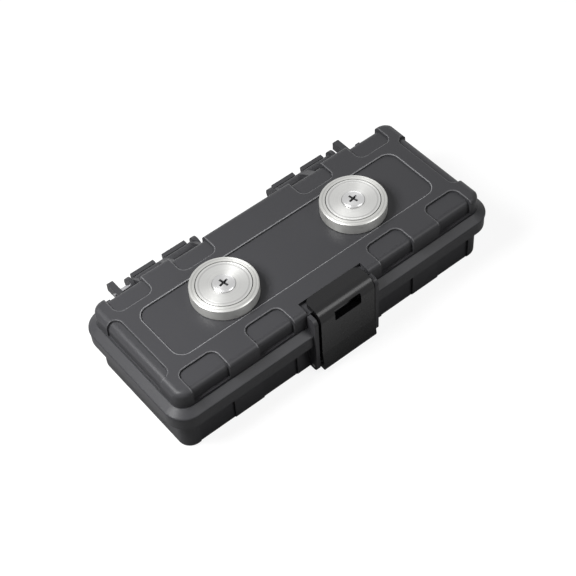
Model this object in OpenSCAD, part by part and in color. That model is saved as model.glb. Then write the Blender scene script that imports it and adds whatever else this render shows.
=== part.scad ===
// Magnetic key box: a small hinged case with a front clip latch and two pot magnets on its lid.
// Origin at the middle of the base's flat bottom, +X along the length, -Y towards the latch, +Z up.
// The case lies closed. All sizes in millimetres.

/* [Case] */
// Length over the end walls
case_l = 139.6; // [125:0.1:180]
// Width over the side walls
case_w = 53.2; // [46:0.1:70]
// Height of the base, from its bottom to the top of its rim
base_h = 23.7; // [21:0.1:36]
// Height of the lid, from its lower edge to its top
lid_h = 7.2; // [7:0.1:14]
// Thickness of the side and end walls
wall_t = 2.2; // [1.8:0.1:3]
// Thickness of the base's floor
floor_t = 2; // [1.2:0.1:3]
// Thickness of the lid's roof
roof_t = 2.7; // [2.4:0.1:4]
// Radius of the case's upright corners
corner_r = 5; // [4:0.1:8]
// Radius of the lid's top edge along the front and the rear
top_edge_r = 2.2; // [0.8:0.1:2.6]
// Radius of the lid's top edge along both ends
end_edge_r = 2.8; // [1:0.1:3.2]
// Radius of the base's bottom edge
bottom_edge_r = 1.2; // [0.6:0.1:2]

/* [Seam] */
// How far the base's rim stands out from the walls
rim_out = 3.5; // [2.8:0.1:5]
// Height of the base's rim
rim_h = 8.5; // [7:0.1:10]
// Height over which the rim's top slopes down outside the lid
slope_h = 2; // [1.4:0.1:3]
// Flat left on the rim's top between the lid's wall and the slope
slope_land = 0.3; // [0.1:0.1:1]
// Height of the lip's upright face below the slope
lip_h = 0.5; // [0.5:0.1:1.2]
// Radius of the edge between the slope and the lip's face
lip_r = 0.8; // [0.2:0.1:0.8]
// How far the lip stands out over the rim's lower part
lip_step = 0.3; // [0.1:0.05:0.5]
// Chamfer under the base's rim
rim_chamfer = 0.6; // [0.2:0.1:1.5]
// Gap between the lid and the base, which the seal bridges
seam_gap = 0.3; // [0.2:0.05:0.5]
// Width of the seal
seal_w = 1.4; // [1:0.1:1.6]
// Depth of the groove that holds the seal
seal_depth = 1.4; // [0.8:0.1:2]
// Wall left outside the seal
seal_lip = 0.2; // [0.1:0.05:0.6]
// Clearance at each side of the seal
seal_clear = 0.05; // [0.02:0.01:0.1]

/* [Lid top] */
// Depth of the middle panel
panel_depth = 0.7; // [0.3:0.1:1]
// Border between the panel and the end walls
panel_edge_x = 10.8; // [8:0.1:16]
// Clearance between the cups and the panel's sides
panel_clear = 0.4; // [0.2:0.1:0.8]
// Radius of the panel's corners
panel_r = 4.5; // [2:0.1:8]
// Radius of the edges round the panel and the pockets
mouth_r = 0.4; // [0.1:0.05:0.6]

/* [Pockets] */
// Length of each side pocket
pocket_l = 15.5; // [10:0.1:17]
// Distance from the end wall to the first pocket
pocket_end = 6.1; // [5:0.1:8]
// Distance between the two pockets of a half side
pocket_gap = 12.7; // [8:0.1:14]
// How far the pockets reach in over the lid
pocket_run = 9.5; // [6:0.1:10]
// How far a pocket lies below the lid's top
pocket_depth = 0.9; // [0.4:0.1:1.2]
// How far a pocket's wall in the lid is set back
pocket_set = 1.1; // [0.3:0.1:1.3]
// Height of the ledge under each pocket in the lid
ledge_h = 0.7; // [0.3:0.1:1.5]
// Radius of the pockets' inner corners
pocket_r = 3; // [1:0.1:4]
// Height of the pockets in the base's walls
base_pocket_h = 11; // [6:0.1:12]
// How far a pocket's wall in the base is set back
base_pocket_set = 0.8; // [0.3:0.1:1.2]
// Width of the pocket at each end of the lid
end_pocket_w = 31.5; // [20:0.1:36]
// How far the end pockets reach in over the lid
end_pocket_run = 4.8; // [3:0.1:7]
// How far the end pockets are set back
end_pocket_set = 0.5; // [0.2:0.1:1]

/* [Latch] */
// Width of the latch
latch_w = 24.6; // [18:0.1:30]
// Thickness of the latch's plate
latch_t = 2.4; // [1.8:0.1:3]
// Gap between the plate and the case's wall
latch_stand = 2.6; // [2.3:0.1:4]
// How far the hook reaches in over the lid
hook_run = 4.6; // [3:0.1:6]
// How far the hook stands above the lid's top
hook_up = 0.9; // [0.4:0.1:1.5]
// Outer radius of the latch's upper front edge
hook_r = 4.5; // [3:0.1:5]
// Radius of the hook's rear corners
hook_corner_r = 2.8; // [0.5:0.1:3.5]
// Depth of the bed in the lid's edge that takes the hook
bed_depth = 1.4; // [1:0.1:1.6]
// Room round the hook in its bed
bed_room = 1.9; // [1.5:0.1:3]
// Height of the gap between the hook and its bed
hook_clear = 0.15; // [0.1:0.05:0.4]
// Width of the window in the latch
window_w = 12; // [6:0.1:16]
// Height of the window in the latch
window_h = 5.1; // [3:0.1:8]
// Diameter of the latch's pin
latch_pin_d = 1.6; // [1.2:0.1:2]
// Height of the latch's pin above the bottom
latch_pin_z = 3.6; // [3.6:0.1:5]
// Distance of the latch's pin from the wall
latch_pin_out = 2.5; // [2.5:0.1:3]
// Radius of the latch's barrel round its pin
latch_barrel_r = 2.2; // [1.8:0.1:2.2]
// Radius of the grip along the latch's lower edge
grip_r = 2.4; // [2:0.1:2.5]
// Distance of the grip's middle in front of the pin
grip_out = 1.1; // [0.6:0.1:1.2]
// Distance of the grip's middle below the pin
grip_down = 0.5; // [0:0.1:0.6]
// Height above the pin from which the plate widens into the grip
flare_up = 7; // [4:0.5:9]
// Radius of the latch's lower corners, seen from the front
foot_r = 1.6; // [0.5:0.1:2]
// Depth of the hollow in the wall that the opened grip turns into
bay_depth = 0.8; // [0.8:0.1:1.1]
// Height of that hollow
bay_h = 8; // [7:0.1:10]

/* [Latch ears] */
// Thickness of the ears beside the latch
ear_t = 1.6; // [1.2:0.1:2.5]
// Gap between the latch and each ear
ear_gap = 0.8; // [0.3:0.1:1]
// How far the ears stand out from the wall
ear_out = 4.4; // [4.2:0.1:5]
// Distance of the ears' tops below the lid's top
ear_drop = 1.3; // [1:0.1:3]
// Gap between the ears and the lid's wall
ear_clear = 0.3; // [0.2:0.05:0.5]
// Radius of the ears' upper front corner
ear_r = 2.5; // [1:0.1:3]
// Depth of rim left behind the latch, measured from the wall
notch_floor = 0.9; // [0.6:0.1:1.2]

/* [Hinge] */
// Distance of the hinge axis from the rear wall
hinge_out = 7.4; // [7.4:0.1:9]
// Distance of the hinge axis below the top of the rim
hinge_drop = 5.1; // [4.8:0.1:5.5]
// Diameter of the hinge pins
hinge_pin_d = 2; // [1.6:0.1:2.2]
// Diameter of the lid's hinge barrels
hinge_barrel_d = 4.2; // [3.8:0.1:4.4]
// Radial clearance of the barrels on their pins
hinge_fit = 0.05; // [0.03:0.01:0.1]
// Radial clearance where the base holds a pin
pin_fit = 0.02; // [0.01:0.01:0.04]
// Distance from the end wall to the lug beside each hinge
hinge_end = 9.2; // [7:0.1:14]
// Thickness of the hinge cheeks
cheek_t = 1.6; // [1.2:0.1:2.5]
// Radius of the hinge cheeks
cheek_r = 3.3; // [2.5:0.1:3.6]
// Gap between a barrel and each cheek
cheek_gap = 0.2; // [0.1:0.05:0.5]
// Length of each saddle behind a barrel
saddle_l = 10.4; // [6:0.1:11]
// Radial gap between a barrel and its saddles
saddle_gap = 0.35; // [0.3:0.05:0.5]
// Outer radius of the saddles
saddle_r = 4.3; // [3.8:0.1:4.4]
// Height of the saddles' rear edge above the axis
saddle_up = 0.75; // [0:0.05:1.5]
// Width of the web at each end of a barrel
end_web_w = 1.3; // [0.8:0.1:2]
// Width of the web in the middle of a barrel
mid_web_w = 3.3; // [2:0.1:5]
// Thickness of the webs where they reach over the rim
web_t = 1.6; // [1.2:0.1:2.2]
// Gap between the webs and the rim
web_clear = 0.35; // [0.3:0.05:0.5]
// Gap between a web and a saddle
web_gap = 0.3; // [0.2:0.05:0.6]
// Thickness of the gussets below the saddles
gusset_t = 1.6; // [1:0.1:3]

/* [Rear stops] */
// Distance from the outer cheek to the stop that holds the pin's end
stop_gap = 3.8; // [2.5:0.1:4.5]
// Thickness of each stop
stop_t = 2.4; // [1.6:0.1:3]
// Distance of the stops' ends behind the hinge axis
stop_run = 5.4; // [4:0.1:5.6]
// Height of the stops
stop_h = 4.2; // [4:0.1:4.4]
// How far each pin reaches beyond its cheek and its stop
pin_over = 0.4; // [0.2:0.1:1]
// Gap between each stop and the small lug beside it
lug_gap = 3.3; // [2:0.1:4]
// Thickness of each lug
lug_t = 2; // [1.2:0.1:2.5]
// How far the lugs stand out from the rim
lug_out = 2.4; // [1.5:0.1:5]
// Height of the lugs
lug_h = 3.6; // [2:0.1:4]

/* [Magnets] */
// Distance between the two magnets
magnet_pitch = 59.6; // [44:0.1:76]
// Diameter of the steel cups
cup_d = 25; // [22:0.1:25.2]
// Height of the steel cups
cup_h = 5.2; // [4.8:0.1:8]
// Thickness of a cup's floor
cup_floor = 1.2; // [0.8:0.1:1.4]
// Thickness of a cup's side
cup_side = 2.2; // [1.6:0.1:3]
// Bevel round a cup's upper edge
cup_bevel = 0.35; // [0.1:0.05:0.6]
// Gap between the magnet ring and the cup's side
ring_gap = 0.3; // [0.1:0.05:0.6]

/* [Fasteners] */
// Diameter of the screws
screw_d = 4; // [3:0.1:4.2]
// Diameter of the screw heads
head_d = 8.5; // [7:0.1:9]
// Height of a head above the magnet's face
head_rise = 0.6; // [0.3:0.1:0.8]
// Width of the rounded edge round a head's flat top
head_edge = 0.9; // [0.8:0.1:1.6]
// Clearance between a head and its countersink
sink_clear = 0.1; // [0.05:0.01:0.2]
// Length of the screws below the magnet's face
screw_l = 12; // [10.8:0.1:12.6]
// Width of the recess's four arms
cross_w = 0.9; // [0.6:0.1:1.2]
// Length across the recess's arms
cross_l = 4.4; // [3:0.1:5]
// Depth of the recess
cross_depth = 1.5; // [0.8:0.1:2]
// Radial clearance of the screw in the lid, the cup and the magnet
screw_clear = 0.2; // [0.1:0.05:0.4]
// Radial clearance of the screw in its nut
thread_clear = 0.03; // [0.02:0.01:0.05]
// Diameter of the washers
washer_d = 9; // [8:0.1:12]
// Thickness of the washers
washer_t = 0.8; // [0.5:0.1:1.2]
// Width across a nut's flats
nut_af = 7; // [6:0.1:8]
// Height of the nuts
nut_h = 3.2; // [2:0.1:3.2]

/* [Hidden] */
$fn = 64;

eps = 0.01;
half_l = case_l / 2;
half_w = case_w / 2;
lid_z = base_h + seam_gap;
top_z = lid_z + lid_h;
rim_z = base_h - rim_h;
lip_z = base_h - slope_h - lip_h;
slope_a = atan2(slope_h, rim_out - slope_land);
ledge_z = lid_z + ledge_h;
roof_z = top_z - roof_t;
panel_z = top_z - panel_depth;
panel_l = case_l - 2 * panel_edge_x;
panel_w = cup_d + 2 * panel_clear;
pocket_z = top_z - pocket_depth;
pocket_x1 = half_l - pocket_end - pocket_l;
pocket_x0 = pocket_x1 - pocket_gap - pocket_l;
// Latch
plate_y = -half_w - latch_stand;
front_y = plate_y - latch_t;
hook_y = -half_w + hook_run;
hook_z = top_z + hook_up;
bed_z = top_z - bed_depth;
under_z = bed_z + hook_clear;
latch_y = -half_w - latch_pin_out;
ear_x = latch_w / 2 + ear_gap;
ear_end_r = ear_out - latch_pin_out;
grip_y = latch_y - grip_out;
grip_z = latch_pin_z - grip_down;
flare_z = latch_pin_z + flare_up;
flare_a = atan2(flare_z - grip_z, front_y - grip_y)
    + acos(grip_r / norm([front_y - grip_y, flare_z - grip_z]));
// Hinge
hinge_y = half_w + hinge_out;
hinge_z = base_h - hinge_drop;
barrel_l = 2 * end_web_w + 2 * saddle_l + mid_web_w + 4 * web_gap;
lug_x = half_l - hinge_end - lug_t;
stop_x = lug_x - lug_gap - stop_t;
cheek_x = stop_x - stop_gap - cheek_t;
barrel_x = cheek_x - cheek_gap - barrel_l;
hinge_start = barrel_x - cheek_gap - cheek_t;
saddle_x0 = barrel_x + end_web_w + web_gap;
mid_web_x = saddle_x0 + saddle_l + web_gap;
saddle_x1 = mid_web_x + mid_web_w + web_gap;
end_web_x = saddle_x1 + saddle_l + web_gap;
saddle_in_r = hinge_barrel_d / 2 + saddle_gap;
// Magnets
face_z = panel_z + cup_h;
ring_r = cup_d / 2 - cup_side - ring_gap;
hole_r = screw_d / 2 + screw_clear;
sink_h = (head_d - screw_d) / 2;
sink_top = head_d / 2 + sink_clear;
washer_z = roof_z - washer_t;
nut_z = washer_z - nut_h;

// Plan outline of the case, grown by the given amount.
module plan(grow) {
    r = corner_r + grow;
    square([case_l - 2 * corner_r, case_w + 2 * grow], center = true);
    square([case_l + 2 * grow, case_w - 2 * corner_r], center = true);
    for (x = [-1, 1], y = [-1, 1])
        translate([x * (half_l - corner_r), y * (half_w - corner_r)])
            circle(r);
}

// Rectangle with round corners, centred.
module round_rect(l, w, r) {
    square([l - 2 * r, w], center = true);
    square([l, w - 2 * r], center = true);
    for (x = [-1, 1], y = [-1, 1])
        translate([x * (l / 2 - r), y * (w / 2 - r)])
            circle(r);
}

// Sweeps an edge section round a rectangle with round corners. The section's x runs outwards
// from the corners' centres, its y upwards.
module swept(l, w, r, z0, z1) {
    cx = l / 2 - r;
    cy = w / 2 - r;
    translate([-cx, -cy, z0])
        cube([2 * cx, 2 * cy, z1 - z0]);
    for (a = [0, 180]) {
        rotate([0, 0, a])
            translate([cx, 0, 0])
                rotate([90, 0, 0])
                    linear_extrude(2 * cy, center = true)
                        children();
        rotate([0, 0, a + 90])
            translate([cy, 0, 0])
                rotate([90, 0, 0])
                    linear_extrude(2 * cx, center = true)
                        children();
        rotate([0, 0, a])
            translate([cx, cy, 0])
                rotate_extrude(angle = 90)
                    children();
        rotate([0, 0, a])
            translate([cx, -cy, 0])
                rotate([0, 0, -90])
                    rotate_extrude(angle = 90)
                        children();
    }
}

// Half section of a wall whose upper outer edge is round.
module wall_section(out, z0, z1, r) {
    w = corner_r + out;
    translate([0, z0])
        square([w, z1 - r - z0]);
    translate([0, z1 - r])
        square([w - r, r]);
    translate([w - r, z1 - r])
        intersection() {
            circle(r);
            square(2 * r);
        }
}

// Half section of the base: round bottom edge, upright wall, rim with a chamfer below and a lip on top.
module base_section() {
    w = corner_r;
    face = w + rim_out - lip_step;
    translate([0, bottom_edge_r])
        square([w, base_h - bottom_edge_r]);
    square([w - bottom_edge_r, bottom_edge_r]);
    translate([w - bottom_edge_r, bottom_edge_r])
        intersection() {
            circle(bottom_edge_r);
            translate([0, -2 * bottom_edge_r])
                square(2 * bottom_edge_r);
        }
    polygon([[w - 1, rim_z - rim_chamfer], [w, rim_z - rim_chamfer], [face, rim_z + rim_chamfer],
        [face, lip_z + 0.1], [w - 1, lip_z + 0.1]]);
    lip_section(w, w + rim_out);
}

// Half section of the lip round the base's top: upright face, round edge, slope and flat.
module lip_section(w, x) {
    z = lip_z + lip_h;
    t = lip_r * tan(45 - slope_a / 2);
    polygon([[w - 1, lip_z], [x, lip_z], [x, z - t], [x - lip_r, z - t],
        [x - t * cos(slope_a), z + t * sin(slope_a)], [w + slope_land, base_h], [w - 1, base_h]]);
    translate([x - lip_r, z - t])
        intersection() {
            circle(lip_r);
            square(lip_r);
        }
}

// Outer form of the lid: upright walls set in by the given amount, under a top with round edges.
module lid_form(set, z1) {
    x = half_l - set - end_edge_r;
    intersection() {
        swept(case_l, case_w, corner_r, lid_z, z1)
            wall_section(-set, lid_z, z1, top_edge_r);
        rotate([90, 0, 0])
            linear_extrude(2 * case_w, center = true) {
                translate([-half_l + set, lid_z - 1])
                    square([case_l - 2 * set, z1 - end_edge_r - lid_z + 1]);
                translate([-x, lid_z - 1])
                    square([2 * x, z1 - lid_z + 1]);
                for (s = [-1, 1])
                    translate([s * x, z1 - end_edge_r])
                        circle(end_edge_r);
            }
    }
}

// A recess in the lid's top, cut down to z0, with a round edge at its mouth.
module recess(l, w, r, z0, depth) {
    m = min(mouth_r, depth);
    swept(l, w, r, z0, top_z + 1) {
        translate([0, z0])
            square([r, top_z + 1 - z0]);
        difference() {
            translate([0, top_z - m])
                square([r + m, m + 1]);
            translate([r + m, top_z - m])
                circle(m);
        }
    }
}

// Sets its child at the middle of each pocket's mouth along both long walls.
module at_side_pockets() {
    for (a = [0, 180], s = [-1, 1], x = [pocket_x0, pocket_x1])
        rotate([0, 0, a])
            translate([s * (x + pocket_l / 2), half_w, 0])
                children();
}

// The pockets of the lid, set into its top and its walls above the ledge.
module lid_pockets() {
    difference() {
        at_side_pockets()
            recess(pocket_l, 2 * pocket_run, pocket_r, ledge_z, pocket_depth);
        lid_form(pocket_set, pocket_z);
    }
    difference() {
        for (s = [-1, 1])
            translate([s * half_l, 0, 0])
                recess(2 * end_pocket_run, end_pocket_w, pocket_r, ledge_z, pocket_depth);
        lid_form(end_pocket_set, pocket_z);
    }
}

// The pockets of the base, which run up its long walls from the bottom.
module base_pockets() {
    difference() {
        at_side_pockets()
            translate([0, 0, -1])
                linear_extrude(base_pocket_h + 1)
                    round_rect(pocket_l, 2 * pocket_run, pocket_r);
        translate([0, 0, -2])
            linear_extrude(base_h)
                plan(-base_pocket_set);
    }
}

// Sets its children on the right and, mirrored, on the left.
module both() {
    children();
    mirror([1, 0, 0])
        children();
}

// Sets an extrusion of an outline in Y and Z along X, from x to x + l.
module along_x(x, l) {
    translate([x, 0, 0])
        rotate([90, 0, 90])
            linear_extrude(l)
                children();
}

module hinge_bore(x, l, r) {
    translate([x, hinge_y, hinge_z])
        rotate([0, 90, 0])
            cylinder(h = l, r = r);
}

module cheek(x) {
    along_x(x, cheek_t) {
        translate([hinge_y, hinge_z])
            circle(cheek_r);
        polygon([[half_w + 1, rim_z], [hinge_y, hinge_z - cheek_r], [hinge_y, hinge_z + 0.8],
            [half_w + rim_out + 0.6, lip_z - 0.8], [half_w + 1, lip_z - 0.8]]);
    }
}

module saddle(x) {
    along_x(x, saddle_l)
        difference() {
            union() {
                translate([hinge_y, hinge_z])
                    circle(saddle_r);
                translate([half_w + 1, rim_z])
                    square([hinge_out - 1, hinge_z - rim_z]);
            }
            translate([hinge_y, hinge_z])
                circle(saddle_in_r);
            translate([half_w, hinge_z + saddle_up])
                square(3 * hinge_out);
        }
    along_x(x + (saddle_l - gusset_t) / 2, gusset_t)
        polygon([[half_w - 1, rim_z - 8], [half_w - 1, rim_z], [hinge_y - saddle_in_r, rim_z + 0.5],
            [hinge_y, hinge_z - saddle_r + 0.3], [half_w, rim_z - 8]]);
}

module rear_stop(x) {
    along_x(x, stop_t)
        translate([half_w + 1, hinge_z - stop_h / 2])
            difference() {
                square([hinge_out - 1 + stop_run, stop_h]);
                translate([hinge_out - 1 + stop_run, stop_h])
                    rotate(45)
                        square(1, center = true);
            }
}

module lug(x) {
    along_x(x, lug_t)
        translate([half_w + 1, hinge_z - lug_h / 2])
            square([rim_out - 1 + lug_out, lug_h]);
}

// One of the two ears that hold the latch's pin and guard the latch, up to just below the lid's top.
module base_ear() {
    z = top_z - ear_drop;
    along_x(ear_x, ear_t) {
        translate([-half_w - ear_out, latch_pin_z])
            square([ear_out + 1, lip_z - latch_pin_z]);
        translate([latch_y, latch_pin_z])
            circle(ear_end_r);
        translate([latch_y, latch_pin_z - ear_end_r])
            square([latch_pin_out + 1, ear_end_r]);
        translate([-half_w - ear_out, lip_z - 1])
            square([ear_out - ear_clear, z - ear_r - lip_z + 1]);
        translate([-half_w - ear_out + ear_r, z - ear_r - 1])
            square([ear_out - ear_clear - ear_r, ear_r + 1]);
        translate([-half_w - ear_out + ear_r, z - ear_r])
            intersection() {
                circle(ear_r);
                translate([-ear_r, 0])
                    square(ear_r);
            }
    }
}

module base_shell() {
    color([0.13, 0.13, 0.14])
        difference() {
            union() {
                difference() {
                    swept(case_l, case_w, corner_r, 0, base_h)
                        base_section();
                    base_pockets();
                    translate([-ear_x, -half_w - 2 * ear_out, -1])
                        cube([2 * ear_x, 2 * ear_out - notch_floor, base_h + 2]);
                    translate([-ear_x, -half_w - 1, -1])
                        cube([2 * ear_x, 1 + bay_depth, bay_h + 1]);
                }
                both() {
                    base_ear();
                    cheek(hinge_start);
                    cheek(cheek_x);
                    saddle(saddle_x0);
                    saddle(saddle_x1);
                    rear_stop(stop_x);
                    lug(lug_x);
                }
            }
            translate([0, 0, floor_t])
                linear_extrude(base_h)
                    plan(-wall_t);
            translate([0, 0, base_h - seal_depth])
                linear_extrude(base_h)
                    difference() {
                        plan(-seal_lip);
                        plan(-seal_lip - seal_w);
                    }
            both() {
                hinge_bore(hinge_start - 1, cheek_t + 1 + cheek_gap, hinge_pin_d / 2 + pin_fit);
                hinge_bore(cheek_x - cheek_gap, stop_x + stop_t - cheek_x + 1, hinge_pin_d / 2 + pin_fit);
            }
            translate([-ear_x - ear_t - 1, latch_y, latch_pin_z])
                rotate([0, 90, 0])
                    cylinder(h = 2 * (ear_x + ear_t + 1), r = latch_pin_d / 2 + pin_fit);
        }
}

// A web that carries a barrel: it leaves the lid's wall above the seam and bends down over the rim.
module web(x, l) {
    y = half_w + rim_out;
    wall_y = half_w - wall_t + 0.3;
    over = web_clear + web_t;
    along_x(x, l)
        difference() {
            polygon([[wall_y, lid_z], [wall_y, base_h + over],
                [half_w + slope_land + over * tan(slope_a / 2), base_h + over],
                [y + over, lip_z + lip_h + over * tan(45 - slope_a / 2)],
                [hinge_y + 0.9, hinge_z + hinge_barrel_d / 2 - 0.25], [hinge_y, hinge_z],
                [hinge_y - hinge_barrel_d / 2 + 0.3, hinge_z + 0.3], [y, lip_z - 1]]);
            polygon([[half_w - wall_t, rim_z], [y + web_clear, rim_z],
                [y + web_clear, lip_z + lip_h + web_clear * tan(45 - slope_a / 2)],
                [half_w + slope_land + web_clear * tan(slope_a / 2), base_h + web_clear],
                [half_w - wall_t, base_h + web_clear]]);
        }
}

module lid_shell() {
    color([0.16, 0.16, 0.17])
        difference() {
            union() {
                difference() {
                    lid_form(0, top_z);
                    lid_pockets();
                    recess(panel_l, panel_w, panel_r, panel_z, panel_depth);
                    translate([-latch_w / 2 - bed_room, -half_w - 2 * ear_out, bed_z])
                        cube([latch_w + 2 * bed_room, 2 * ear_out + hook_run + 0.5, lid_h]);
                }
                both() {
                    hinge_bore(barrel_x, barrel_l, hinge_barrel_d / 2);
                    web(barrel_x, end_web_w);
                    web(mid_web_x, mid_web_w);
                    web(end_web_x, end_web_w);
                }
            }
            translate([0, 0, lid_z - 1])
                linear_extrude(roof_z - lid_z + 1)
                    plan(-wall_t);
            both() {
                hinge_bore(barrel_x - 1, barrel_l + 2, hinge_pin_d / 2 + hinge_fit);
                translate([magnet_pitch / 2, 0, roof_z - 1])
                    cylinder(h = roof_t + 2, r = hole_r);
            }
        }
}

module rim_seal() {
    color([0.05, 0.05, 0.05])
        translate([0, 0, base_h - seal_depth])
            linear_extrude(seal_depth + seam_gap)
                difference() {
                    plan(-seal_lip - seal_clear);
                    plan(-seal_lip - seal_w + seal_clear);
                }
}

// Outline of the latch from the side: hook, plate, barrel and grip in one bent piece.
module latch_section() {
    inner_r = hook_r - latch_t;
    arc_y = front_y + hook_r;
    difference() {
        union() {
            translate([front_y, grip_z])
                square([hook_y - front_y, hook_z - hook_r - grip_z]);
            translate([arc_y, hook_z - hook_r - eps])
                square([hook_y - arc_y, hook_r + eps]);
            translate([arc_y, hook_z - hook_r])
                circle(hook_r);
        }
        translate([plate_y, -1])
            square([case_w, under_z - inner_r + 1]);
        translate([plate_y + inner_r, 0])
            square([case_w, under_z]);
        translate([plate_y + inner_r, under_z - inner_r])
            circle(inner_r);
    }
    translate([latch_y, latch_pin_z])
        circle(latch_barrel_r);
    translate([grip_y, grip_z])
        circle(grip_r);
    polygon([[front_y, flare_z], [grip_y + grip_r * cos(flare_a), grip_z + grip_r * sin(flare_a)],
        [grip_y, grip_z], [plate_y - 0.1, grip_z], [plate_y - 0.1, flare_z]]);
}

module latch() {
    color([0.02, 0.02, 0.02])
        difference() {
            intersection() {
                along_x(-latch_w / 2, latch_w)
                    latch_section();
                translate([0, hook_y - case_w / 2, -1])
                    linear_extrude(2 * top_z)
                        round_rect(latch_w, case_w, hook_corner_r);
                translate([0, 0, grip_z - grip_r + top_z])
                    rotate([90, 0, 0])
                        linear_extrude(case_w)
                            round_rect(latch_w, 2 * top_z, foot_r);
            }
            translate([0, plate_y + 1, under_z - hook_clear / 2 - window_h / 2])
                rotate([90, 0, 0])
                    linear_extrude(3 * latch_t)
                        round_rect(window_w, window_h, 0.6);
            translate([-latch_w, latch_y, latch_pin_z])
                rotate([0, 90, 0])
                    cylinder(h = 2 * latch_w, r = latch_pin_d / 2 + hinge_fit);
        }
}

module latch_pin() {
    color("silver")
        translate([-ear_x - ear_t, latch_y, latch_pin_z])
            rotate([0, 90, 0])
                cylinder(h = 2 * (ear_x + ear_t), r = latch_pin_d / 2);
}

module hinge_pin() {
    color("silver")
        hinge_bore(hinge_start - pin_over, stop_x + stop_t + pin_over - hinge_start + pin_over, hinge_pin_d / 2);
}

module hinge_pin_right() {
    hinge_pin();
}

module hinge_pin_left() {
    mirror([1, 0, 0])
        hinge_pin();
}

module magnet_cup(side) {
    color([0.8, 0.8, 0.8])
        translate([side * magnet_pitch / 2, 0, panel_z])
            rotate_extrude()
                polygon([[hole_r, 0], [cup_d / 2 - cup_bevel, 0], [cup_d / 2, cup_bevel],
                    [cup_d / 2, cup_h - cup_bevel], [cup_d / 2 - cup_bevel, cup_h],
                    [cup_d / 2 - cup_side, cup_h], [cup_d / 2 - cup_side, cup_floor], [hole_r, cup_floor]]);
}

module magnet_ring(side) {
    color([0.7, 0.7, 0.72])
        translate([side * magnet_pitch / 2, 0, panel_z + cup_floor])
            rotate_extrude()
                polygon([[hole_r, 0], [ring_r, 0], [ring_r, cup_h - cup_floor],
                    [sink_top, cup_h - cup_floor], [hole_r, cup_h - cup_floor - sink_top + hole_r]]);
}

module magnet_screw(side) {
    flat_r = head_d / 2 - head_edge;
    edge_r = (pow(head_edge, 2) + pow(head_rise, 2)) / (2 * head_rise);
    color([0.85, 0.85, 0.85])
        translate([side * magnet_pitch / 2, 0, face_z])
            difference() {
                rotate_extrude() {
                    polygon([[0, -screw_l], [screw_d / 2 - 0.4, -screw_l], [screw_d / 2, -screw_l + 0.4],
                        [screw_d / 2, -sink_h], [head_d / 2, 0], [0, 0]]);
                    translate([0, -eps])
                        square([flat_r, head_rise + eps]);
                    intersection() {
                        translate([flat_r, head_rise - edge_r])
                            circle(edge_r);
                        translate([flat_r - 0.1, 0])
                            square([head_edge + 1, head_rise + 1]);
                    }
                }
                for (a = [45, 135])
                    rotate([0, 0, a])
                        translate([-cross_l / 2, -cross_w / 2, head_rise - cross_depth])
                            cube([cross_l, cross_w, cross_depth + 1]);
            }
}

module magnet_washer(side) {
    color("silver")
        translate([side * magnet_pitch / 2, 0, washer_z])
            linear_extrude(washer_t)
                difference() {
                    circle(d = washer_d);
                    circle(hole_r);
                }
}

module magnet_nut(side) {
    color("silver")
        translate([side * magnet_pitch / 2, 0, nut_z])
            difference() {
                intersection() {
                    cylinder(h = nut_h, d = nut_af / cos(30), $fn = 6);
                    cylinder(h = nut_h + 2, r1 = nut_af / 2 - 0.1, r2 = nut_af / 2 + 1.9 + nut_h);
                }
                translate([0, 0, -1])
                    cylinder(h = nut_h + 2, r = screw_d / 2 + thread_clear);
            }
}

module magnet_cup_left() { magnet_cup(-1); }
module magnet_cup_right() { magnet_cup(1); }
module magnet_ring_left() { magnet_ring(-1); }
module magnet_ring_right() { magnet_ring(1); }
module magnet_screw_left() { magnet_screw(-1); }
module magnet_screw_right() { magnet_screw(1); }
module magnet_washer_left() { magnet_washer(-1); }
module magnet_washer_right() { magnet_washer(1); }
module magnet_nut_left() { magnet_nut(-1); }
module magnet_nut_right() { magnet_nut(1); }

base_shell();
lid_shell();
rim_seal();
latch();
latch_pin();
hinge_pin_left();
hinge_pin_right();
magnet_cup_left();
magnet_cup_right();
magnet_ring_left();
magnet_ring_right();
magnet_screw_left();
magnet_screw_right();
magnet_washer_left();
magnet_washer_right();
magnet_nut_left();
magnet_nut_right();
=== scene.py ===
"""Dresses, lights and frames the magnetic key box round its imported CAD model."""

import logging
import math
from dataclasses import dataclass
from enum import Enum
from typing import Any, Optional
import bpy
from mathutils import Matrix, Vector


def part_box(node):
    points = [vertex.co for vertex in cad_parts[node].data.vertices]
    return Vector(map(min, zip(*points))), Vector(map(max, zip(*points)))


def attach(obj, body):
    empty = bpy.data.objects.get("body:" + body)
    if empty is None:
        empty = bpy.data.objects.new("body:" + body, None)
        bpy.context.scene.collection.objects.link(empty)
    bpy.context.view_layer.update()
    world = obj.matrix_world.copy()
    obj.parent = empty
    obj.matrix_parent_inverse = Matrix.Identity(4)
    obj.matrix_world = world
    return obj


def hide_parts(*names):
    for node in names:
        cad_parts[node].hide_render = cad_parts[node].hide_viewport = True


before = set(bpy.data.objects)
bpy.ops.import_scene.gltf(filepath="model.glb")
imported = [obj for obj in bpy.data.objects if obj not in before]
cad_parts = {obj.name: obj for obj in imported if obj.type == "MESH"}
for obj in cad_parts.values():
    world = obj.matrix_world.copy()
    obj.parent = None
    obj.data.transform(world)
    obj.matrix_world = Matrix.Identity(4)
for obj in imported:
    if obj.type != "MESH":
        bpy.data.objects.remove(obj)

LOG = logging.getLogger("key_box")
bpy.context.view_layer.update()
MM = 0.001
# A face whose normal's upright part is below this looks down.
DOWNWARD = -0.9

# Radius, half width, rise and darker share of a soft round band; the darker share is painted
# shade.
Band = tuple[float, float, float, float]


class Side(Enum):
    """Which half of the case a repeated piece belongs to."""

    LEFT = "left"
    RIGHT = "right"


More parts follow.
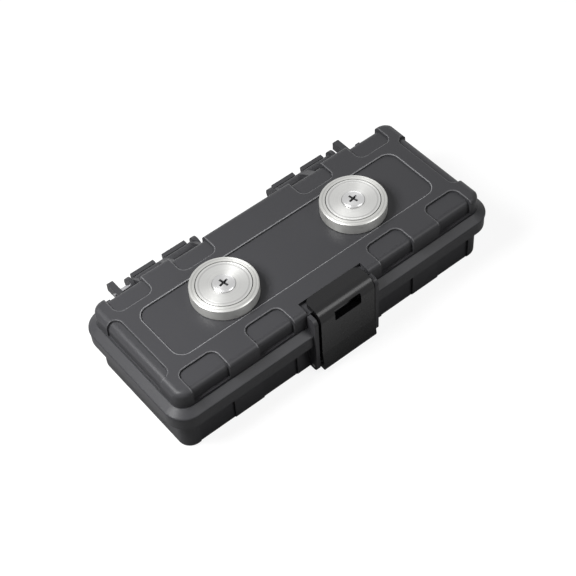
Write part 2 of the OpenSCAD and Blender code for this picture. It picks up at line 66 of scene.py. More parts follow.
def linear(hex_colour: str) -> tuple[float, float, float, float]:
    """Turns an sRGB hex colour into the linear values that shaders take.

    Args:
        hex_colour: Six hex digits with a leading hash, such as "#2b2b2d".

    Returns:
        Red, green, blue and alpha in linear light.
    """
    channels = []
    for start in (1, 3, 5):
        value = int(hex_colour[start:start + 2], 16) / 255
        # The sRGB curve is a straight line near black and a power above it.
        channels.append(value / 12.92 if value <= 0.04045 else ((value + 0.055) / 1.055) ** 2.4)
    return channels[0], channels[1], channels[2], 1.0


def grey(level: float) -> tuple[float, float, float, float]:
    """Returns a neutral linear colour of the given level."""
    return level, level, level, 1.0


def node(
    tree: Any,
    kind: str,
    settings: Optional[dict[Any, Any]] = None,
    links: Optional[dict[Any, Any]] = None,
) -> Any:
    """Adds a shader node with its settings and incoming links.

    Args:
        tree: Node tree that takes the new node.
        kind: Blender's type name of the node.
        settings: Attributes by name, or input values where the key is an input's name or index.
        links: Output sockets by the name or index of the input they feed.

    Returns:
        The new node.
    """
    made = tree.nodes.new(kind)
    for key, value in (settings or {}).items():
        if isinstance(key, str) and hasattr(made, key):
            setattr(made, key, value)
        else:
            made.inputs[key].default_value = value
    for key, output in (links or {}).items():
        tree.links.new(output, made.inputs[key])
    return made


def blank_material(name: str) -> Any:
    """Returns a new material with an empty node tree."""
    material = bpy.data.materials.new(name)
    material.use_nodes = True
    material.node_tree.nodes.clear()
    return material


@dataclass(frozen=True)
class PaintedHighlightEdge:
    """Painted highlight: a light line painted along the round edge of a rectangle with round
    corners, where the edge's round would catch the light.

    Attributes:
        fold_mm: X and Y about which the outline repeats to both sides, one pair per fold.
        half_mm: Half length and half width of the outline, in millimetres.
        corner_mm: Radius of its corners.
        share: How strongly the painted highlight shows on the edge, from 0 to 1.
        above_mm: Height above which the edge shows.
        width_mm: Width of the painted highlight line.
    """

    fold_mm: tuple[tuple[float, float], ...]
    half_mm: tuple[float, float]
    corner_mm: float
    share: float
    above_mm: float = 29.9
    width_mm: float = 0.55

    def mask(self, tree: Any, place: Any) -> Any:
        """Adds the nodes that find the edge.

        Args:
            tree: Node tree of the material.
            place: Socket with object coordinates.

        Returns:
            Socket that is the share on the edge and 0 away from it.
        """
        folded = place
        for x, y in self.fold_mm:
            whole = node(tree, "ShaderNodeVectorMath", {"operation": "ABSOLUTE"}, {0: folded})
            folded = node(
                tree, "ShaderNodeVectorMath",
                {"operation": "SUBTRACT", 1: (x * MM, y * MM, 0)},
                {0: whole.outputs["Vector"]},
            ).outputs["Vector"]
        whole = node(tree, "ShaderNodeVectorMath", {"operation": "ABSOLUTE"}, {0: folded})
        inner = [(half - self.corner_mm) * MM for half in self.half_mm]
        past = node(
            tree, "ShaderNodeVectorMath",
            {"operation": "SUBTRACT", 1: (inner[0], inner[1], 0)},
            {0: whole.outputs["Vector"]},
        )
        level = node(
            tree, "ShaderNodeVectorMath",
            {"operation": "MULTIPLY", 1: (1, 1, 0)}, {0: past.outputs["Vector"]},
        )
        outside = node(
            tree, "ShaderNodeVectorMath",
            {"operation": "MAXIMUM", 1: (0, 0, 0)}, {0: level.outputs["Vector"]},
        )
        away = node(
            tree, "ShaderNodeVectorMath", {"operation": "LENGTH"}, {0: outside.outputs["Vector"]},
        )
        middle = self.corner_mm + self.width_mm / 2
        off = node(
            tree, "ShaderNodeMath",
            {"operation": "SUBTRACT", 1: middle * MM}, {0: away.outputs["Value"]},
        )
        near = node(tree, "ShaderNodeMath", {"operation": "ABSOLUTE"}, {0: off.outputs[0]})
        line = node(
            tree, "ShaderNodeMapRange",
            {"From Max": self.width_mm * MM / 2, "To Min": self.share, "To Max": 0.0},
            {"Value": near.outputs[0]},
        )
        axes = node(tree, "ShaderNodeSeparateXYZ", links={0: place})
        high = node(
            tree, "ShaderNodeMath",
            {"operation": "GREATER_THAN", 1: self.above_mm * MM}, {0: axes.outputs["Z"]},
        )
        both = node(
            tree, "ShaderNodeMath", {"operation": "MULTIPLY"},
            {0: line.outputs[0], 1: high.outputs[0]},
        )
        return both.outputs[0]


@dataclass(frozen=True)
class MouldedPlastic:
    """Plastic from a steel tool: an even colour, a fine grain and slow changes of shade.

    Attributes:
        name: Material name, after the real plastic and process.
        colour: sRGB hex colour.
        roughness: Mean roughness of the surface.
        ior: Index of refraction, about 1.5 for such plastics.
        shine: Specular level, below 0.5 where the grain traps part of the gloss.
        grain_mm: Size of the tool's grain, in millimetres.
        grain_depth_mm: Height of the grain, in millimetres.
        drift: Share by which the colour drifts over the moulding.
        drift_mm: Distance over which it drifts, in millimetres.
        uneven: How far the roughness strays from its mean.
        edges: Edges along which a highlight is painted into the colour.
        painted_highlight: sRGB hex colour of the highlight painted along those edges.
    """

    name: str
    colour: str
    roughness: float
    ior: float
    shine: float
    grain_mm: float
    grain_depth_mm: float
    drift: float
    drift_mm: float = 30.0
    uneven: float = 0.04
    edges: tuple[PaintedHighlightEdge, ...] = ()
    painted_highlight: str = "#7c7c7e"

    def build(self) -> Any:
        """Returns the material."""
        material = blank_material(self.name)
        tree = material.node_tree
        place = node(tree, "ShaderNodeTexCoord").outputs["Object"]
        grain = node(
            tree, "ShaderNodeTexNoise",
            {"Scale": 1 / (self.grain_mm * MM), "Detail": 2.0, "Roughness": 0.6},
            {"Vector": place},
        )
        flow = node(
            tree, "ShaderNodeTexNoise",
            {"Scale": 1 / (self.drift_mm * MM), "Detail": 1.0}, {"Vector": place},
        )
        red, green, blue, _ = linear(self.colour)
        low, high = 1 - self.drift, 1 + self.drift
        tint = node(
            tree, "ShaderNodeMix",
            {
                "data_type": "RGBA",
                6: (red * low, green * low, blue * low, 1),
                7: (red * high, green * high, blue * high, 1),
            },
            {0: flow.outputs["Fac"]},
        )
        # Paints a light highlight line into the colour along each edge.
        for edge in self.edges:
            tint = node(
                tree, "ShaderNodeMix", {"data_type": "RGBA", 7: linear(self.painted_highlight)},
                {0: edge.mask(tree, place), 6: tint.outputs[2]},
            )
        rough = node(
            tree, "ShaderNodeMapRange",
            {"To Min": self.roughness - self.uneven, "To Max": self.roughness + self.uneven},
            {"Value": grain.outputs["Fac"]},
        )
        bump = node(
            tree, "ShaderNodeBump",
            {"Strength": 1.0, "Distance": self.grain_depth_mm * MM},
            {"Height": grain.outputs["Fac"]},
        )
        shader = node(
            tree, "ShaderNodeBsdfPrincipled",
            {"IOR": self.ior, "Specular IOR Level": self.shine},
            {
                "Base Color": tint.outputs[2],
                "Roughness": rough.outputs["Result"],
                "Normal": bump.outputs["Normal"],
            },
        )
        node(tree, "ShaderNodeOutputMaterial", links={"Surface": shader.outputs[0]})
        return material


@dataclass(frozen=True)
class TurnedMetal:
    """Plated metal with fine rings left by the lathe or the press, centred on an upright axis.

    Attributes:
        name: Material name, after the real metal and process.
        colour: sRGB hex colour of the plate.
        roughness: Mean roughness.
        centre_mm: X and Y of the axis, in millimetres.
        ring_mm: Distance between two rings, in millimetres.
        ring_depth_mm: Depth of the rings, in millimetres.
        ring_tint: Share by which the rings' grooves are darker.
        dish: Slope of a face that is ground hollow towards the axis.
        dish_mm: Radii between which it is hollow, in millimetres.
        streak: How far the rings draw a highlight out across them, from 0 to 1.
        blotch_mm: Size of the duller and brighter patches, in millimetres.
        uneven: How far the roughness strays from its mean.
        bands_mm: Soft round bands, each with its radius, half width and rise in millimetres,
        and the share by which painted shade darkens it.
    """

    name: str
    colour: str
    roughness: float
    centre_mm: tuple[float, float]
    ring_mm: float
    ring_depth_mm: float
    ring_tint: float = 0.1
    dish: float = 0.0
    dish_mm: tuple[float, float] = (4.4, 8.8)
    streak: float = 0.6
    blotch_mm: float = 4.0
    uneven: float = 0.06
    bands_mm: tuple[Band, ...] = ()

    def build(self) -> Any:
        """Returns the material."""
        material = blank_material(self.name)
        tree = material.node_tree
        place = node(tree, "ShaderNodeTexCoord").outputs["Object"]
        x, y = (value * MM for value in self.centre_mm)
        centred = node(
            tree, "ShaderNodeMapping",
            {"vector_type": "POINT", "Location": (-x, -y, 0)}, {"Vector": place},
        )
        flat = node(
            tree, "ShaderNodeVectorMath",
            {"operation": "MULTIPLY", 1: (1, 1, 0)}, {0: centred.outputs["Vector"]},
        ).outputs["Vector"]
        radius = node(
            tree, "ShaderNodeVectorMath", {"operation": "LENGTH"}, {0: flat},
        ).outputs["Value"]
        rings = node(
            tree, "ShaderNodeTexNoise",
            {"noise_dimensions": "1D", "Scale": 1 / (self.ring_mm * MM), "Detail": 3.0},
            {"W": radius},
        )
        blotch = node(
            tree, "ShaderNodeTexNoise",
            {"Scale": 1 / (self.blotch_mm * MM), "Detail": 2.0}, {"Vector": place},
        )
        rough = node(
            tree, "ShaderNodeMapRange",
            {"To Min": self.roughness - self.uneven, "To Max": self.roughness + self.uneven},
            {"Value": blotch.outputs["Fac"]},
        )
        inner, outer = (value * MM for value in self.dish_mm)
        hollow = node(
            tree, "ShaderNodeMapRange",
            {"From Min": inner, "From Max": outer, "To Max": self.dish * (outer - inner)},
            {"Value": radius},
        )
        ringed = node(
            tree, "ShaderNodeMath", {"operation": "MULTIPLY_ADD", 1: self.ring_depth_mm * MM},
            {0: rings.outputs["Fac"], 2: hollow.outputs[0]},
        )
        red, green, blue, _ = linear(self.colour)
        dark = 1 - self.ring_tint
        shaded = node(
            tree, "ShaderNodeMix",
            {
                "data_type": "RGBA",
                6: (red * dark, green * dark, blue * dark, 1),
                7: (red, green, blue, 1),
            },
            {0: rings.outputs["Fac"]},
        )
        height, tint = self.press_bands_and_paint_shade(tree, radius, ringed.outputs[0], shaded.outputs[2])
        bump = node(
            tree, "ShaderNodeBump", {"Strength": 1.0, "Distance": 1.0}, {"Height": height},
        )
        shader = node(
            tree, "ShaderNodeBsdfPrincipled", {"Metallic": 1.0, "Anisotropic": self.streak},
            {
                "Base Color": tint,
                "Roughness": rough.outputs["Result"],
                "Normal": bump.outputs["Normal"],
                "Tangent": self.across(tree, flat),
            },
        )
        node(tree, "ShaderNodeOutputMaterial", links={"Surface": shader.outputs[0]})
        return material

    def press_bands_and_paint_shade(self, tree: Any, radius: Any, height: Any, tint: Any) -> tuple[Any, Any]:
        """Adds the soft bands to the face's height, and paints shade into the colour where a band
        is darker.

        Args:
            tree: Node tree of the material.
            radius: Socket with the distance from the axis.
            height: Socket with the height so far.
            tint: Socket with the colour so far.

        Returns:
            Sockets with the height and the colour, with the bands in them.
        """
        for middle, half, rise, share in self.bands_mm:
            off = node(
                tree, "ShaderNodeMath", {"operation": "SUBTRACT", 1: middle * MM}, {0: radius},
            )
            away = node(tree, "ShaderNodeMath", {"operation": "ABSOLUTE"}, {0: off.outputs[0]})
            band = node(
                tree, "ShaderNodeMapRange",
                {
                    "interpolation_type": "SMOOTHSTEP",
                    "From Max": half * MM, "To Min": 1.0, "To Max": 0.0,
                },
                {"Value": away.outputs[0]},
            ).outputs[0]
            height = node(
                tree, "ShaderNodeMath", {"operation": "MULTIPLY_ADD", 1: rise * MM},
                {0: band, 2: height},
            ).outputs[0]
            # Painted shade: darkens the colour in the band, in place of the darker reflection in
            # a groove.
            darker = node(
                tree, "ShaderNodeMath", {"operation": "MULTIPLY", 1: share}, {0: band},
            )
            tint = node(
                tree, "ShaderNodeMix", {"data_type": "RGBA", 7: grey(0.0)},
                {0: darker.outputs[0], 6: tint},
            ).outputs[2]
        return height, tint

    def across(self, tree: Any, flat: Any) -> Any:
        """Finds the direction on the surface that crosses the rings.

        Args:
            tree: Node tree of the material.
            flat: Socket with the level vector from the axis.

        Returns:
            Socket with that direction.
        """
        along = node(
            tree, "ShaderNodeVectorMath", {"operation": "CROSS_PRODUCT", 0: (0, 0, 1)}, {1: flat},
        )
        turned = node(
            tree, "ShaderNodeVectorTransform",
            {"vector_type": "VECTOR", "convert_from": "OBJECT", "convert_to": "WORLD"},
            {0: along.outputs["Vector"]},
        )
        surface = node(tree, "ShaderNodeNewGeometry")
        crossed = node(
            tree, "ShaderNodeVectorMath", {"operation": "CROSS_PRODUCT"},
            {0: surface.outputs["Normal"], 1: turned.outputs[0]},
        )
        unit = node(
            tree, "ShaderNodeVectorMath", {"operation": "NORMALIZE"},
            {0: crossed.outputs["Vector"]},
        )
        return unit.outputs["Vector"]


@dataclass(frozen=True)
class DrawnSteel:
    """Steel wire drawn through a die, with faint lines along its length, which lies along X.

    Attributes:
        name: Material name.
        colour: sRGB hex colour.
        roughness: Mean roughness.
        line_mm: Distance between the drawing lines, in millimetres.
        stretch: How much slower the lines change along the wire than across it.
        uneven: How far the roughness strays from its mean.
    """

    name: str
    colour: str
    roughness: float
    line_mm: float
    stretch: float = 0.02
    uneven: float = 0.08

    def build(self) -> Any:
        """Returns the material."""
        material = blank_material(self.name)
        tree = material.node_tree
        place = node(tree, "ShaderNodeTexCoord").outputs["Object"]
        along = node(
            tree, "ShaderNodeMapping", {"Scale": (self.stretch, 1, 1)}, {"Vector": place},
        )
        lines = node(
            tree, "ShaderNodeTexNoise",
            {"Scale": 1 / (self.line_mm * MM), "Detail": 1.0},
            {"Vector": along.outputs["Vector"]},
        )
        rough = node(
            tree, "ShaderNodeMapRange",
            {"To Min": self.roughness - self.uneven, "To Max": self.roughness + self.uneven},
            {"Value": lines.outputs["Fac"]},
        )
        shader = node(
            tree, "ShaderNodeBsdfPrincipled",
            {"Base Color": linear(self.colour), "Metallic": 1.0},
            {"Roughness": rough.outputs["Result"]},
        )
        node(tree, "ShaderNodeOutputMaterial", links={"Surface": shader.outputs[0]})
        return material


# Painted highlight lines along the edges of the lid's panel, its pockets along the sides and
# those at the ends.
PANEL_EDGE = PaintedHighlightEdge(fold_mm=(), half_mm=(59.0, 12.9), corner_mm=4.5, share=0.9)
SIDE_POCKET_EDGE = PaintedHighlightEdge(
    fold_mm=((41.85, 26.6), (14.1, 0.0)), half_mm=(7.75, 9.5), corner_mm=3.0, share=0.4,
)
END_POCKET_EDGE = PaintedHighlightEdge(
    fold_mm=((69.8, 0.0),), half_mm=(4.8, 15.75), corner_mm=3.0, share=0.2,
)
# ABS from a spark-eroded tool: charcoal black with a soft satin sheen, and light highlight lines
# painted along the edges. The real grain is about 0.1 mm and is drawn coarser so that it shows.
CASE_PLASTIC = MouldedPlastic(
    name="abs_moulded_satin", colour="#323234", roughness=0.36, ior=1.5, shine=0.17,
    grain_mm=0.5, grain_depth_mm=0.012, drift=0.05,
    edges=(PANEL_EDGE, SIDE_POCKET_EDGE, END_POCKET_EDGE),
)
# Acetal from a polished tool: near black and wet-looking, with crisp highlights along its bends.
# What grain it has is the faint waviness of the skin.
LATCH_PLASTIC = MouldedPlastic(
    name="acetal_moulded_gloss", colour="#0b0b0c", roughness=0.26, ior=1.48, shine=0.32,
    grain_mm=0.8, grain_depth_mm=0.002, drift=0.03,
)
# Silicone from a plain tool: dead matt black that only shows as a dark line in the seam. Its
# grain is drawn coarser than the real 0.05 mm or so.
SEAL_RUBBER = MouldedPlastic(
    name="silicone_moulded_matt", colour="#141414", roughness=0.7, ior=1.41, shine=0.5,
    grain_mm=0.4, grain_depth_mm=0.01, drift=0.03,
)
# Wire drawn through a die: grey steel with faint lines along the pin, which are drawn wider apart
# than the real 0.02 mm or so.
PIN_STEEL = DrawnSteel(name="steel_drawn_wire", colour="#a9a9ab", roughness=0.35, line_mm=0.15)


def dress(cad_node: str, material: Any) -> None:
    """Gives a CAD node one material.

    Args:
        cad_node: Name of the node.
        material: Material for its only slot.
    """
    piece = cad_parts[cad_node]
    piece.data.materials.clear()
    piece.data.materials.append(material)
    LOG.info("dressed %s with %s", cad_node, material.name)


def select_downward(piece: Any) -> None:
    """Selects the faces that look down and leaves the piece in edit mode.

    Args:
        piece: The active object.
    """
    bpy.ops.object.mode_set(mode="EDIT")
    bpy.ops.mesh.select_mode(type="FACE")
    bpy.ops.mesh.select_all(action="DESELECT")
    bpy.ops.object.mode_set(mode="OBJECT")
    for face in piece.data.polygons:
        face.select = face.normal.z < DOWNWARD
    bpy.ops.object.mode_set(mode="EDIT")


@dataclass
class Case:
    """The moulded base and lid with their seal."""

    shells: tuple[str, ...] = ("base_shell", "lid_shell")
    seal: str = "rim_seal"

    def build(self) -> None:
        """Dresses both shells alike, and the seal."""
        plastic = CASE_PLASTIC.build()
        for shell in self.shells:
            dress(shell, plastic)
        dress(self.seal, SEAL_RUBBER.build())


@dataclass
class Latch:
    """The glossy front latch."""

    plate: str = "latch"

    def build(self) -> None:
        """Dresses the latch."""
        dress(self.plate, LATCH_PLASTIC.build())


@dataclass
class Pins:
    """The drawn steel pins of the latch and both hinges."""

    names: tuple[str, ...] = ("latch_pin", "hinge_pin_left", "hinge_pin_right")

    def build(self) -> None:
        """Dresses all pins alike."""
        steel = PIN_STEEL.build()
        for name in self.names:
            dress(name, steel)


@dataclass
class CrossScrew:
    """Countersunk M4 screw with a low domed head, a cross recess and a ridged thread.

    Attributes:
        side: Half of the lid that it goes through.
        centre_mm: X and Y of its axis, in millimetres.
        face_mm: Height of the magnet's face that the head sits in.
        head_mm: Radii of the head from its top down, each with its height over the face.
        shank_mm: Radius over the thread's ridges.
        root_mm: Radius at the thread's root.
        thread_mm: Heights between which the thread runs, from the face.
        pitch_mm: Distance between two ridges of the thread.
        tip_mm: How much narrower than the root and how much lower than the thread the tip is.
        arm_mm: Length, width and depth of the recess's arms.
        taper: Share of the arms' size that is left at their bottom.
        turn_deg: How far the recess is turned, seen from above.
        sides: Number of flat sides round the screw.
        disc_mm: Thickness of the disc that it is drawn from.
        over_mm: How far the recess's cutters stand above the head.
        slack_mm: How far outside the recess's size a face still counts as its wall.
        skin_mm: Depth below the head's top at which the recess's walls begin.
        smooth_deg: Angle up to which neighbouring faces are shaded as one.
    """

    side: Side
    centre_mm: tuple[float, float]
    face_mm: float
    head_mm: tuple[tuple[float, float], ...] = (
        (3.3, 0.6), (3.75, 0.55), (4.05, 0.38), (4.22, 0.15), (4.24, 0.0), (2.0, -2.24),
    )
    shank_mm: float = 1.98
    root_mm: float = 1.7
    thread_mm: tuple[float, float] = (-2.6, -11.8)
    pitch_mm: float = 0.7
    tip_mm: tuple[float, float] = (0.4, 0.1)
    arm_mm: tuple[float, float, float] = (4.3, 0.95, 1.5)
    taper: float = 0.5
    turn_deg: float = 12.0
    sides: int = 64
    disc_mm: float = 0.01
    over_mm: float = 0.2
    slack_mm: float = 0.1
    skin_mm: float = 0.02
    smooth_deg: float = 35.0

    def top(self) -> float:
        """Returns the height of the head's flat top, in metres."""
        return (self.face_mm + self.head_mm[0][1]) * MM

    def profile(self) -> list[tuple[float, float]]:
        """Returns radius and height, in metres, of each ring of the screw from its top down."""
        rings = list(self.head_mm)
        height, low = self.thread_mm
        while height > low:
            rings += [(self.root_mm, height), (self.shank_mm, height - self.pitch_mm / 2)]
            height -= self.pitch_mm
        narrower, lower = self.tip_mm
        rings.append((self.root_mm - narrower, low - lower))
        return [(radius * MM, (self.face_mm + rise) * MM) for radius, rise in rings]

    def body(self) -> Any:
        """Draws the screw out of a thin disc, ring by ring, and returns its object."""
        x, y = (value * MM for value in self.centre_mm)
        rings = self.profile()
        radius, height = rings[0]
        thin = self.disc_mm * MM
        bpy.ops.object.select_all(action="DESELECT")
        bpy.ops.mesh.primitive_cylinder_add(
            vertices=self.sides, radius=radius, depth=thin, location=(x, y, height - thin / 2)
        )
        screw = bpy.context.object
        bpy.ops.object.transform_apply(location=True, rotation=True, scale=True)
        select_downward(screw)
        height -= thin
        for next_radius, next_height in rings[1:]:
            bpy.ops.mesh.extrude_region_move(
                TRANSFORM_OT_translate={"value": (0, 0, next_height - height)}
            )
            share = next_radius / radius
            bpy.ops.transform.resize(value=(share, share, 1), center_override=(x, y, next_height))
            radius, height = next_radius, next_height
        bpy.ops.object.mode_set(mode="OBJECT")
        return screw

    def arm(self, turn: float) -> Any:
        """Adds one arm of the recess as a cutter that narrows downwards.

        Args:
            turn: Its turn about the screw's axis, in degrees.

        Returns:
            The cutter's object.
        """
        x, y = (value * MM for value in self.centre_mm)
        long, wide, deep = (value * MM for value in self.arm_mm)
        top = self.top()
        over = self.over_mm * MM
        bpy.ops.object.select_all(action="DESELECT")
        bpy.ops.mesh.primitive_cube_add(
            size=1, location=(x, y, top + over - (deep + over) / 2),
            rotation=(0, 0, math.radians(turn)), scale=(long, wide, deep + over),
        )
        cutter = bpy.context.object
        bpy.ops.object.transform_apply(location=True, rotation=True, scale=True)
        select_downward(cutter)
        bpy.ops.transform.resize(
            value=(self.taper, self.taper, 1), center_override=(x, y, top - deep)
        )
        bpy.ops.object.mode_set(mode="OBJECT")
        return cutter

    def in_recess(self, face: Any) -> bool:
        """Tells the recess's walls and bottom from the rest of the screw.

        Args:
            face: Face of the finished screw.

        Returns:
            True for a face of the recess.
        """
        long, _, deep = (value * MM for value in self.arm_mm)
        slack = self.slack_mm * MM
        away = (face.center.xy - Vector(self.centre_mm) * MM).length
        below = self.top() - face.center.z
        return away < long / 2 + slack and self.skin_mm * MM < below < deep + slack

    def build(self, plate: Any, painted_recess_shade: Any) -> None:
        """Makes the screw, cuts its recess and dresses both.

        Args:
            plate: Material of the screw.
            painted_recess_shade: Material of the recess, a duller, darker grey painted in as the
                shade that falls in it.
        """
        screw = self.body()
        for turn in (self.turn_deg, self.turn_deg + 90):
            cutter = self.arm(turn)
            cut = screw.modifiers.new("recess", "BOOLEAN")
            cut.operation = "DIFFERENCE"
            cut.solver = "EXACT"
            cut.object = cutter
            bpy.ops.object.select_all(action="DESELECT")
            bpy.context.view_layer.objects.active = screw
            screw.select_set(True)
            bpy.ops.object.modifier_apply(modifier=cut.name)
            bpy.data.objects.remove(cutter, do_unlink=True)
        bpy.ops.object.shade_smooth_by_angle(angle=math.radians(self.smooth_deg))
        screw.data.materials.clear()
        screw.data.materials.append(plate)
        screw.data.materials.append(painted_recess_shade)
        # Paints shade into the recess by giving its faces the darker material.
        for face in screw.data.polygons:
            face.material_index = int(self.in_recess(face))
        label = self.side.value
        screw.name = f"cross_screw_{label}"
        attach(screw, "lid")
        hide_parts(f"magnet_screw_{label}")
        LOG.info("made %s in place of magnet_screw_%s", screw.name, label)


@dataclass
class PotMagnet:
    """One pot magnet with its screw, washer and nut.

    The metals' rings are really about 0.1 mm apart and are drawn wider so that they show.

    Attributes:
        side: Half of the lid that it stands on.
        cup_bands_mm: Groove that the press leaves in the cup's edge, drawn in the height with
            painted shade darkening it, as TurnedMetal's bands.
        ring_bands_mm: Raised line and groove near the ring's outer edge, likewise, with painted
            shade in the groove.
    """

    side: Side
    cup_bands_mm: tuple[Band, ...] = ((11.4, 0.45, -0.06, 0.22),)
    ring_bands_mm: tuple[Band, ...] = ((9.75, 0.3, 0.05, 0.0), (9.0, 0.5, -0.06, 0.2))

    def build(self) -> None:
        """Dresses the pieces round the magnet's own upright axis."""
        label = self.side.value
        low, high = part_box(f"magnet_cup_{label}")
        centre = ((low.x + high.x) / 2 / MM, (low.y + high.y) / 2 / MM)
        # Pressed steel with satin nickel: a pale warm grey with a soft groove round its edge,
        # with painted shade in the groove.
        cup = TurnedMetal(
            name=f"steel_pressed_nickel_{label}", colour="#c8c8c5", roughness=0.45,
            centre_mm=centre, ring_mm=0.6, ring_depth_mm=0.02, ring_tint=0.25,
            bands_mm=self.cup_bands_mm,
        )
        # Ground magnet with nickel: the palest face, with a fan of light across its fine rings.
        ring = TurnedMetal(
            name=f"magnet_sintered_nickel_{label}", colour="#cdcdcb", roughness=0.36,
            centre_mm=centre, ring_mm=0.7, ring_depth_mm=0.015, ring_tint=0.2, dish=0.08,
            bands_mm=self.ring_bands_mm,
        )
        # Forged steel with zinc: smoother than the nickel, with small clear highlights.
        zinc = TurnedMetal(
            name=f"steel_forged_zinc_{label}", colour="#c8c8c8", roughness=0.32,
            centre_mm=centre, ring_mm=0.5, ring_depth_mm=0.008,
        ).build()
        # Painted shade in the screw's cross recess: a dull mid grey that draws the cross in the
        # screw's bright head.
        painted_recess_shade = TurnedMetal(
            name=f"steel_painted_recess_shade_{label}", colour="#646466", roughness=0.5,
            centre_mm=centre, ring_mm=0.5, ring_depth_mm=0.008,
        ).build()
        dress(f"magnet_cup_{label}", cup.build())
        dress(f"magnet_ring_{label}", ring.build())
        for piece in ("screw", "washer", "nut"):
            dress(f"magnet_{piece}_{label}", zinc)
        CrossScrew(self.side, centre, high.z / MM).build(zinc, painted_recess_shade)


@dataclass(frozen=True)
class Lamp:
    """Square soft lamp.

    Attributes:
        name: Name of the lamp.
        place_m: Where it hangs, in metres.
        size_m: Length of its side, in metres.
        watts: Its power.
    """

    name: str
    place_m: tuple[float, float, float]
    size_m: float
    watts: float

    def build(self, aim_m: tuple[float, float, float]) -> None:
        """Hangs the lamp.

        Args:
            aim_m: Point that it looks at, in metres.
        """
        data = bpy.data.lights.new(self.name, "AREA")
        data.shape = "SQUARE"
        data.size = self.size_m
        data.energy = self.watts
        lamp = bpy.data.objects.new(self.name, data)
        lamp.location = self.place_m
        direction = Vector(aim_m) - Vector(self.place_m)
        lamp.rotation_euler = direction.to_track_quat("-Z", "Y").to_euler()
        bpy.context.scene.collection.objects.link(lamp)


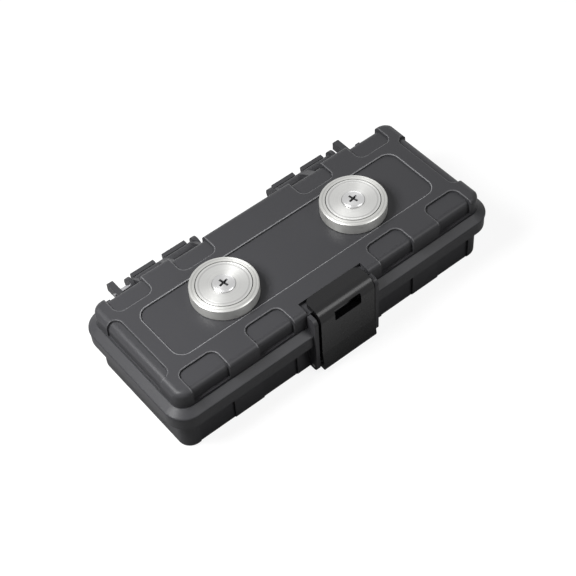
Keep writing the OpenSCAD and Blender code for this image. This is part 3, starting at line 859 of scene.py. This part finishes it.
@dataclass
class Studio:
    """Pale floor, soft lamps, white surroundings and the photograph's camera.

    Attributes:
        eye_mm: Place of the camera, in millimetres.
        azimuth: Camera's turn about the upright, in degrees.
        elevation: Camera's height angle, in degrees.
        roll: Camera's roll, in degrees.
        lens_mm: Focal length.
        sensor_mm: Width of the sensor.
        clip_m: Distance from which the camera sees, in metres.
        paper: Share of light that the floor throws back.
        glow: What lifts the floor to white where it is seen.
        ambient: Strength of the light from all round.
        contact: Reach of the contact shadow under the case, in metres.
        shadow: Share of the glow that is left at the middle of that shadow.
        floor_m: Side and height of the floor, in metres. It lies just below the case.
        aim_m: Point that the lamps look at, in metres.
        lamps: The lamp close above, a far one behind and one that draws the latch's bright band.
    """

    eye_mm: tuple[float, float, float] = (-194.84, -267.53, 412.60)
    azimuth: float = -35.72
    elevation: float = 50.63
    roll: float = -4.55
    lens_mm: float = 88.0
    sensor_mm: float = 36.0
    clip_m: float = 0.01
    paper: float = 0.15
    glow: float = 0.88
    ambient: float = 0.085
    contact: float = 0.12
    shadow: float = 0.05
    floor_m: tuple[float, float] = (6.0, -0.0002)
    aim_m: tuple[float, float, float] = (0, 0, 0.02)
    lamps: tuple[Lamp, ...] = (
        Lamp("key_lamp", (-0.2, 0.05, 0.28), 0.16, 2.2),
        Lamp("rear_lamp", (0.9, 0.85, 0.5), 0.5, 1.5),
        Lamp("band_lamp", (0.37, -0.6, 0.7), 0.42, 3.0),
    )

    def camera(self) -> None:
        """Adds the camera and makes it the scene's own."""
        turn, rise, roll = (math.radians(v) for v in (self.azimuth, self.elevation, self.roll))
        level = math.cos(rise)
        back = Vector((math.sin(turn) * level, -math.cos(turn) * level, math.sin(rise)))
        right = Vector((math.cos(turn), math.sin(turn), 0))
        up = back.cross(right)
        right, up = (
            math.cos(roll) * right + math.sin(roll) * up,
            math.cos(roll) * up - math.sin(roll) * right,
        )
        data = bpy.data.cameras.new("photo_camera")
        data.lens = self.lens_mm
        data.sensor_width = self.sensor_mm
        data.clip_start = self.clip_m
        eye = bpy.data.objects.new("photo_camera", data)
        turned = Matrix((right, up, back)).transposed().to_4x4()
        eye.matrix_world = Matrix.Translation(Vector(self.eye_mm) * MM) @ turned
        bpy.context.scene.collection.objects.link(eye)
        bpy.context.scene.camera = eye

    def seen(self, tree: Any, near: float) -> Any:
        """Tells rays that show the background, straight or in gloss, from rays that light.

        Args:
            tree: Node tree of the floor or the world.
            near: Share of the background that gloss shows where it all but touches it, in the
                contact shadow under the case.

        Returns:
            Output socket that is up to 1 for such rays and 0 for all others.
        """
        path = node(tree, "ShaderNodeLightPath")
        mirrored = node(
            tree, "ShaderNodeMath", {"operation": "MAXIMUM"},
            {0: path.outputs["Is Glossy Ray"], 1: path.outputs["Is Transmission Ray"]},
        )
        open_share = node(
            tree, "ShaderNodeMapRange",
            {"From Max": self.contact, "To Min": near}, {"Value": path.outputs["Ray Length"]},
        )
        reflected = node(
            tree, "ShaderNodeMath", {"operation": "MULTIPLY"},
            {0: mirrored.outputs[0], 1: open_share.outputs[0]},
        )
        shown = node(
            tree, "ShaderNodeMath", {"operation": "MAXIMUM"},
            {0: path.outputs["Is Camera Ray"], 1: reflected.outputs[0]},
        )
        return shown.outputs[0]

    def floor(self) -> None:
        """Adds a wide pale floor just below the case that keeps its shadow."""
        size, height = self.floor_m
        bpy.ops.object.select_all(action="DESELECT")
        bpy.ops.mesh.primitive_plane_add(size=size, location=(0, 0, height))
        floor = bpy.context.object
        floor.name = "studio_floor"
        material = blank_material("paper_coated_white")
        tree = material.node_tree
        paper = node(tree, "ShaderNodeBsdfDiffuse", {"Color": grey(self.paper)})
        glow = node(tree, "ShaderNodeEmission", {"Color": grey(1.0), "Strength": self.glow})
        lit = node(tree, "ShaderNodeAddShader", links={0: paper.outputs[0], 1: glow.outputs[0]})
        surface = node(
            tree, "ShaderNodeMixShader",
            links={0: self.seen(tree, self.shadow), 1: paper.outputs[0], 2: lit.outputs[0]},
        )
        node(tree, "ShaderNodeOutputMaterial", links={"Surface": surface.outputs[0]})
        floor.data.materials.append(material)

    def world(self) -> None:
        """Lights all round at a low level and shows white behind the floor's edge."""
        world = bpy.data.worlds.new("studio_white")
        world.use_nodes = True
        tree = world.node_tree
        tree.nodes.clear()
        soft = node(
            tree, "ShaderNodeBackground", {"Color": grey(1.0), "Strength": self.ambient},
        )
        white = node(tree, "ShaderNodeBackground", {"Color": grey(1.0), "Strength": 1.0})
        mixed = node(
            tree, "ShaderNodeMixShader",
            links={0: self.seen(tree, 1.0), 1: soft.outputs[0], 2: white.outputs[0]},
        )
        node(tree, "ShaderNodeOutputWorld", links={"Surface": mixed.outputs[0]})
        bpy.context.scene.world = world

    def build(self) -> None:
        """Sets up the camera, floor, world and lamps."""
        self.camera()
        self.floor()
        self.world()
        for lamp in self.lamps:
            lamp.build(self.aim_m)
        bpy.context.scene.view_settings.view_transform = "Standard"


def main() -> None:
    """Builds the dressed object and its studio."""
    logging.basicConfig(level=logging.INFO, format="%(message)s")
    Studio().build()
    for part in (Case(), Latch(), Pins(), PotMagnet(Side.LEFT), PotMagnet(Side.RIGHT)):
        part.build()
        LOG.info("built %s", type(part).__name__)


if __name__ == "__main__":
    main()
